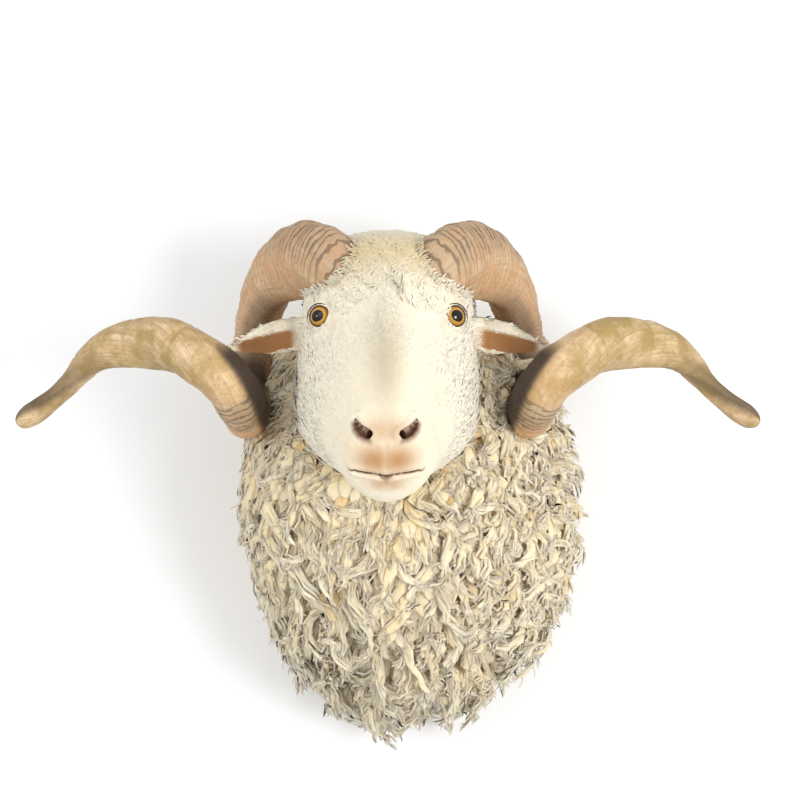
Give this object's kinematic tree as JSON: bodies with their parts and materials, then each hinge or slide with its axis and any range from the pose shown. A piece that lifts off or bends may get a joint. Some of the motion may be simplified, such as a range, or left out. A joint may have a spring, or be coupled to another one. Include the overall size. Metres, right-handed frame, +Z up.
{
  "type": "ram shoulder mount",
  "caption": "Taxidermy shoulder mount of a long-woolled domestic ram with wide flared curling horns, hung flat against a wall.",
  "frame": {"origin": "centre of the back board's rear face, which lies against the wall", "axes": "+Z up, -Y out of the wall along the ram's gaze, +X towards the ram's own left"},
  "size_m": [0.773, 0.4662, 0.5859],
  "materials": {
    "plywood": "bare birch plywood",
    "fleece": "long cream wool in crimped locks",
    "face_hair": "short white hair over skin, bare and pink at the nose",
    "horn": "weathered ridged horn, dull",
    "ear_skin": "thin haired ear, orange-pink inside",
    "glass_eye": "polished glass with an amber iris painted behind it"
  },
  "bodies": {
    "root": {"back_board": "plywood", "chest": "fleece", "neck": "fleece", "head": "face_hair", "ear_left": "ear_skin", "ear_right": "ear_skin", "eye_left": "glass_eye", "eye_right": "glass_eye", "horn_left": "horn", "horn_right": "horn"}
  },
  "joints": []
}
